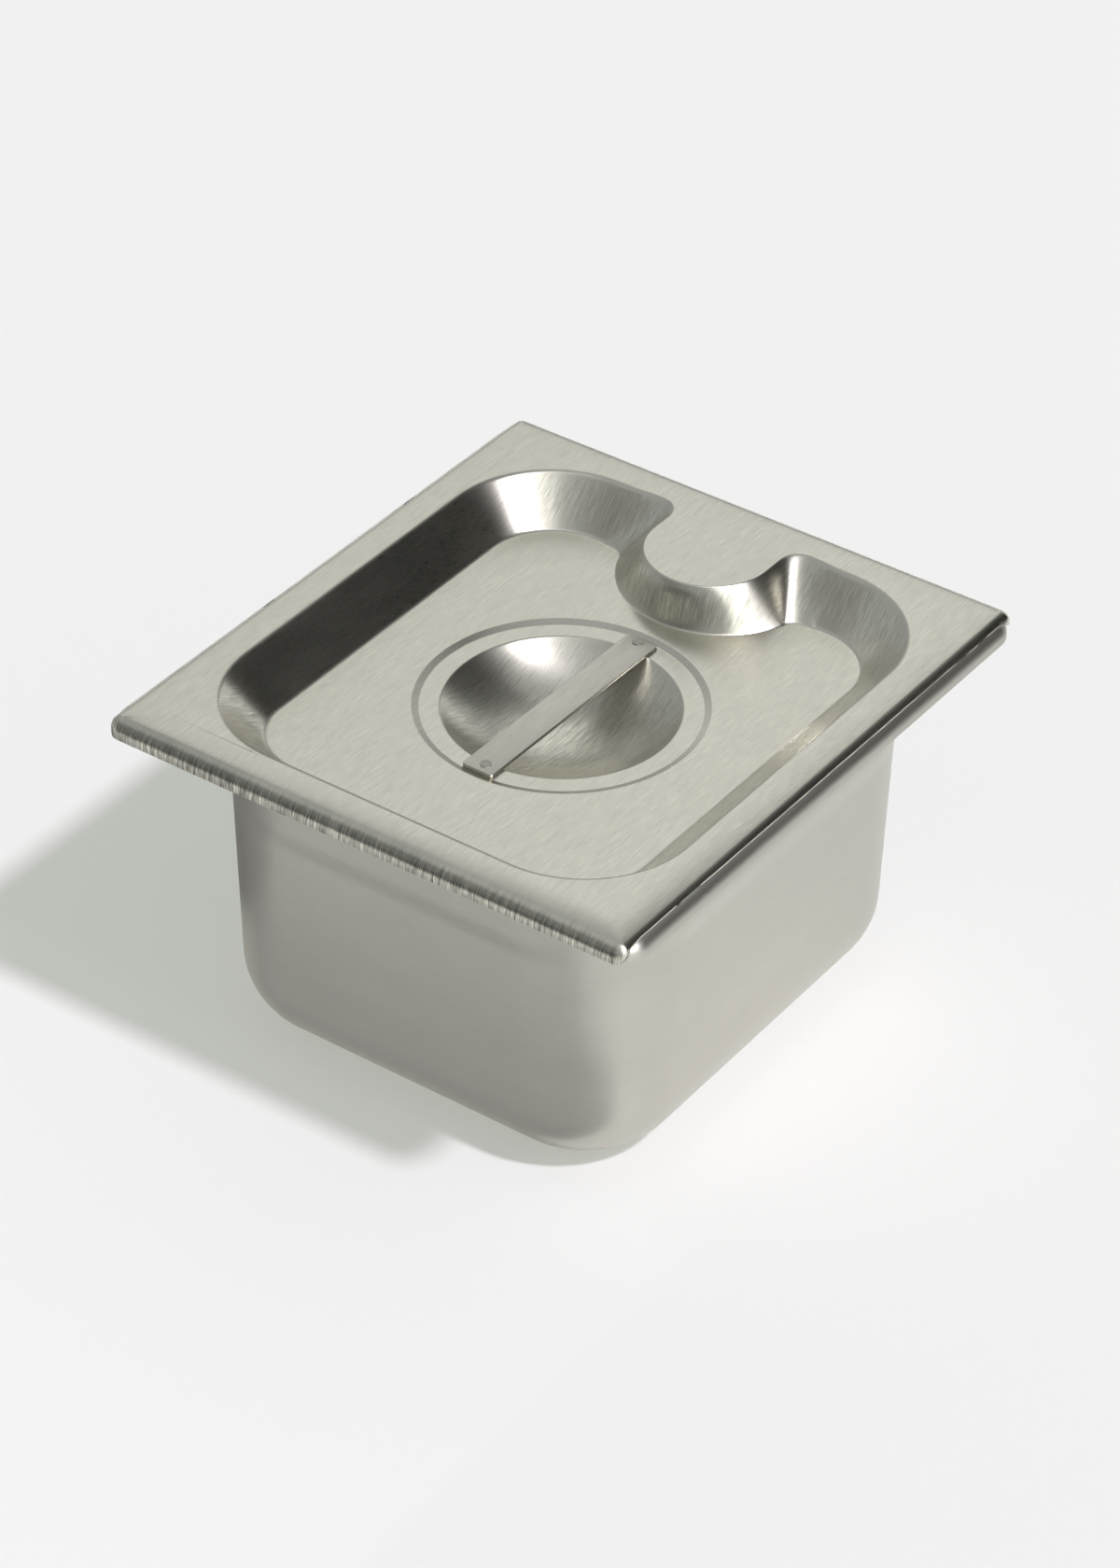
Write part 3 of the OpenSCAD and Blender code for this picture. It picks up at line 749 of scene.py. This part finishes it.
def brushed(name, colour, coordinate, along, rough, contrast=1, aniso=0.6, turn=0.0, bump=0.5, pressed=False,
            rolled=False):
    """Brushed steel. The grain runs along one axis of the coordinate (0 or 1). A pressed piece has
    more grain on its walls, painted shade on its skirts and a painted light that is darker at its left
    and lighter at its right; a rolled one a duller flange."""
    mat = bpy.data.materials.new(name)
    mat.use_nodes = True
    tree = mat.node_tree
    bsdf = tree.nodes["Principled BSDF"]
    place, axes = places(tree, coordinate)
    fine, coarse, broad = (streaks(tree, place, along, kind) for kind in (FINE, COARSE, BROAD))
    grain = worked(tree, "ADD", worked(tree, "MULTIPLY", fine, FINE_SHARE),
                   worked(tree, "MULTIPLY", coarse, COARSE_SHARE))

    swing = SWING * contrast
    if pressed:
        skirts = skirt_mask(tree, axes)
        walls = wall_mask(tree, axes)
        swing = worked(tree, "ADD", worked(tree, "MULTIPLY", walls, WALL_SWING * contrast), swing)
        swing = worked(tree, "ADD", worked(tree, "MULTIPLY", skirts, SKIRT_SWING), swing)
    tint = worked(tree, "ADD", worked(tree, "MULTIPLY", worked(tree, "SUBTRACT", grain, 0.5), swing), 1)
    tint = worked(tree, "MULTIPLY", tint, graded(tree, broad, *MIDDLE, BLOTCH_DARK, BLOTCH_LIGHT))
    if pressed:
        # Painted light: the lid is darker at its left and lighter at its right.
        across = graded(tree, axes["X"], -PAINTED_LIGHT_REACH * MM, PAINTED_LIGHT_REACH * MM, LEFT_PAINTED_SHADE, RIGHT_PAINTED_LIGHT)
        tint = worked(tree, "MULTIPLY", tint, across)
        # Painted shade on the skirts.
        tint = worked(tree, "MULTIPLY", tint, skirt_painted_shade(tree, place, along, skirts))
        tint = worked(tree, "MAXIMUM", tint, DARKEST)
    shade = tree.nodes.new("ShaderNodeVectorMath")
    shade.operation = "SCALE"
    shade.inputs[0].default_value = colour
    tree.links.new(tint, shade.inputs["Scale"])
    tree.links.new(shade.outputs["Vector"], bsdf.inputs["Base Color"])

    dull = worked(tree, "ADD", graded(tree, grain, *MIDDLE, rough + GRAIN_DULL * contrast,
                                      rough + GRAIN_BRIGHT * contrast),
                  graded(tree, broad, *MIDDLE, BLOTCH_BRIGHT, BLOTCH_DULL))
    if rolled:
        roll = graded(tree, axes["Z"], ROLL_START * MM, ROLL_FULL * MM, 0, ROLL_DULL)
        dull = worked(tree, "ADD", dull, roll)
    tree.links.new(dull, bsdf.inputs["Roughness"])
    bsdf.inputs["Metallic"].default_value = 1
    bsdf.inputs["Anisotropic"].default_value = aniso
    bsdf.inputs["Anisotropic Rotation"].default_value = turn
    tangent = tree.nodes.new("ShaderNodeTangent")
    tangent.direction_type = "UV_MAP"
    tangent.uv_map = "grain"
    tree.links.new(tangent.outputs["Tangent"], bsdf.inputs["Tangent"])
    relief = tree.nodes.new("ShaderNodeBump")
    relief.inputs["Strength"].default_value = bump
    relief.inputs["Distance"].default_value = RELIEF
    tree.links.new(grain, relief.inputs["Height"])
    tree.links.new(relief.outputs["Normal"], bsdf.inputs["Normal"])
    return mat


steel_lid = brushed("steel_lid", (0.62, 0.606, 0.525), "OBJECT", 1, 0.30, aniso=0.65, pressed=True)
steel_pan = brushed("steel_pan", (0.585, 0.57, 0.513), "UV", 0, 0.32, contrast=0.35, turn=0.25, bump=0.1,
                    rolled=True)
steel_strip = brushed("steel_strip", (0.57, 0.56, 0.49), "OBJECT", 1, 0.36, aniso=0.5)
steel_weld = brushed("steel_weld", (0.42, 0.41, 0.36), "OBJECT", 0, 0.45, aniso=0.0)

for piece, steel, node, slot, body in (
        (pan, steel_pan, "pan", "pan", "pan"),
        (lid, steel_lid, "lid", "lid", "lid"),
        (strip, steel_strip, "handle_strip", "strip", "lid"),
        (weld_near, steel_weld, "weld_near", "weld", "lid"),
        (weld_far, steel_weld, "weld_far", "weld", "lid")):
    piece.data.materials.clear()
    piece.data.materials.append(steel)
    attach(piece, body)
    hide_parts(node)


# Stage: floor, lamps, and cards that only reflections see. Sizes in metres.
CENTRE = Vector((0, 0, 0.06))
KEY_WAY = Vector((0.565, -0.01, 0.825)).normalized()

# Way from the object, distance, width, height and glow of each standing card.
STANDING_CARDS = (
    ("dark_card", (0.62, 0.64, 0.46), 1.3, 1.6, 1.5, 0.0),
    ("white_card", (0.72, -0.28, 0.64), 1.3, 0.75, 1.3, 2.3),
    ("pale_card", (-0.461, 0.658, 0.595), 1.6, 0.94, 0.94, 0.99),
    ("window_card", (0.0, 0.98, 0.16), 1.5, 0.7, 0.6, 0.9),
    ("dark_card_high", (0.15, 0.66, 0.74), 1.3, 0.55, 0.7, 0.05),
    ("hood_card", (-0.46, -0.66, 0.6), 1.3, 0.8, 0.75, 0.2),
    ("front_card", (-0.15, -0.97, 0.12), 1.3, 1.5, 0.8, 0.12))


def pale_floor():
    clear()
    bpy.ops.mesh.primitive_plane_add(size=8)
    floor = bpy.context.object
    floor.name = "floor"
    mat = bpy.data.materials.new("floor_paper")
    mat.use_nodes = True
    bsdf = mat.node_tree.nodes["Principled BSDF"]
    bsdf.inputs["Base Color"].default_value = (0.83, 0.83, 0.83, 1)
    bsdf.inputs["Roughness"].default_value = 0.9
    floor.data.materials.append(mat)


def sun(name, way, energy, colour):
    clear()
    bpy.ops.object.light_add(type="SUN", location=CENTRE + way * 2)
    obj = bpy.context.object
    obj.name = name
    obj.data.energy = energy
    obj.data.color = colour
    obj.rotation_euler = way.to_track_quat("Z", "Y").to_euler()
    return obj


def card(name, spot, faces, w, h, glow, far=None):
    """A card that only reflections see, as bright as glow, or going over to far at its far edge."""
    clear()
    bpy.ops.mesh.primitive_plane_add(size=1)
    obj = bpy.context.object
    obj.name = name
    obj.scale = (w, h, 1)
    obj.rotation_euler = Vector(faces).to_track_quat("Z", "Y").to_euler()
    obj.location = spot
    bpy.ops.object.transform_apply(location=True, rotation=True, scale=True)
    mat = bpy.data.materials.new(name + "_glow")
    mat.use_nodes = True
    tree = mat.node_tree
    tree.nodes.remove(tree.nodes["Principled BSDF"])
    glowing = tree.nodes.new("ShaderNodeEmission")
    glowing.inputs["Color"].default_value = (1, 1, 1, 1)
    glowing.inputs["Strength"].default_value = glow
    if far:
        y = places(tree, "OBJECT")[1]["Y"]
        strength = graded(tree, y, spot[1] + h / 2, spot[1] - h / 2, glow, far)
        tree.links.new(strength, glowing.inputs["Strength"])
    tree.links.new(glowing.outputs["Emission"], tree.nodes["Material Output"].inputs["Surface"])
    obj.data.materials.append(mat)
    obj.visible_camera = obj.visible_diffuse = obj.visible_shadow = False
    obj.visible_transmission = obj.visible_volume_scatter = False


def studio():
    """The room is one grey in reflections and another for soft light."""
    world = bpy.data.worlds.new("studio")
    bpy.context.scene.world = world
    world.use_nodes = True
    nodes, links = world.node_tree.nodes, world.node_tree.links
    room = nodes["Background"]
    room.inputs["Color"].default_value = (0.96, 1.0, 1.03, 1)
    room.inputs["Strength"].default_value = 0.40
    sky = nodes.new("ShaderNodeBackground")
    sky.inputs["Color"].default_value = (0.975, 1.0, 0.935, 1)
    sky.inputs["Strength"].default_value = 0.31
    path = nodes.new("ShaderNodeLightPath")
    choice = nodes.new("ShaderNodeMixShader")
    links.new(path.outputs["Is Diffuse Ray"], choice.inputs["Fac"])
    links.new(room.outputs["Background"], choice.inputs[1])
    links.new(sky.outputs["Background"], choice.inputs[2])
    links.new(choice.outputs["Shader"], nodes["World Output"].inputs["Surface"])


pale_floor()
key = sun("key", KEY_WAY, 1.62, (1, 0.955, 1.05))
key.data.angle = 0.085
fill = sun("fill", Vector((0, 0, 1)), 1.10, (0.975, 1, 0.935))
fill.data.use_shadow = False
fill.visible_glossy = False
for name, way, distance, w, h, glow in STANDING_CARDS:
    toward = Vector(way).normalized()
    card(name, CENTRE + toward * distance, -toward, w, h, glow)
# Painted shade: two dim sheets on the floor, at the left and in front, that reflections see as shaded floor;
# the front one grows brighter away from the pan.
card("left_floor_shade_card", (-0.22, 0, 0.001), (0, 0, 1), 0.24, 0.30, 0.22)
card("front_floor_shade_card", (-0.10, -0.19, 0.001), (0, 0, 1), 0.38, 0.24, 0.40, far=1.0)
studio()


# Camera at the photo's angle: focal length and aim in pixels of the 1200 by 1680
# picture, angles in degrees, and the distance from a point over the base in mm.
FOCAL, AIM_X, AIM_Y, PICTURE_W, PICTURE_H, SENSOR = 5406.16, 605.83, 882.51, 1200, 1680, 36
AZIMUTH, ELEVATION, ROLL, DISTANCE, AIM_Z = 35.06, 36.50, 0.88, 1318.29, 50


def add_camera():
    az, el, roll = (math.radians(a) for a in (AZIMUTH, ELEVATION, ROLL))
    ahead = Vector((-math.sin(az) * math.cos(el), math.cos(az) * math.cos(el), -math.sin(el)))
    level = ahead.cross(Vector((0, 0, 1))).normalized()
    upright = level.cross(ahead)
    right = math.cos(roll) * level + math.sin(roll) * upright
    up = -math.sin(roll) * level + math.cos(roll) * upright
    aim = ahead + right * (AIM_X - PICTURE_W / 2) / FOCAL - up * (AIM_Y - PICTURE_H / 2) / FOCAL
    clear()
    bpy.ops.object.camera_add(location=Vector((0, 0, AIM_Z * MM)) - aim * DISTANCE * MM)
    cam = bpy.context.object
    cam.name = "camera"
    cam.rotation_euler = Matrix((right, up, -ahead)).transposed().to_euler()
    cam.data.sensor_width = SENSOR
    cam.data.sensor_fit = "AUTO"
    cam.data.lens = FOCAL / PICTURE_H * SENSOR
    cam.data.clip_start, cam.data.clip_end = 0.05, 50
    bpy.context.scene.camera = cam
    bpy.context.scene.view_settings.view_transform = "Standard"


add_camera()
